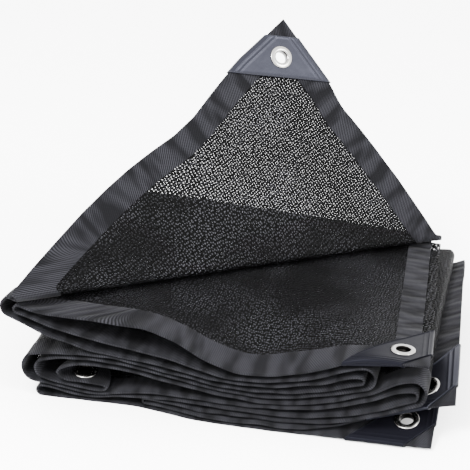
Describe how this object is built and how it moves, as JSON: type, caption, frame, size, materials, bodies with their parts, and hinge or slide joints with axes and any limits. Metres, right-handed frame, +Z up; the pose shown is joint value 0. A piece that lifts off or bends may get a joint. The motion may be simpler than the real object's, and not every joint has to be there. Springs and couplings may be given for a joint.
{
  "type": "shade cloth",
  "caption": "Bound knitted shade cloth folded back and forth into a flat pile, with one reinforced corner thrown back and eyelets for tying.",
  "frame": {"origin": "middle of the part's outline in plan, on the surface that the pile lies on", "axes": "+X to the right along the pile's front edges, +Y to the back fold, +Z up"},
  "size_m": [0.4426, 0.3342, 0.3036],
  "materials": {
    "net": "knitted polyethylene net, black",
    "tape": "woven polyester binding tape, charcoal",
    "patch": "moulded plastic, black with a satin gloss",
    "metal": "nickel-plated, polished"
  },
  "bodies": {
    "root": {"net": "net", "tape_top": "tape", "tape_under": "tape", "tape_end_upper": "tape", "tape_end_lower": "tape", "corner_flap": "patch", "corner_top": "patch", "corner_side": "patch", "corner_floor": "patch", "eyelet_flap": "metal", "eyelet_top": "metal", "eyelet_side": "metal", "eyelet_floor": "metal", "eyelet_edge": "metal"}
  },
  "joints": []
}
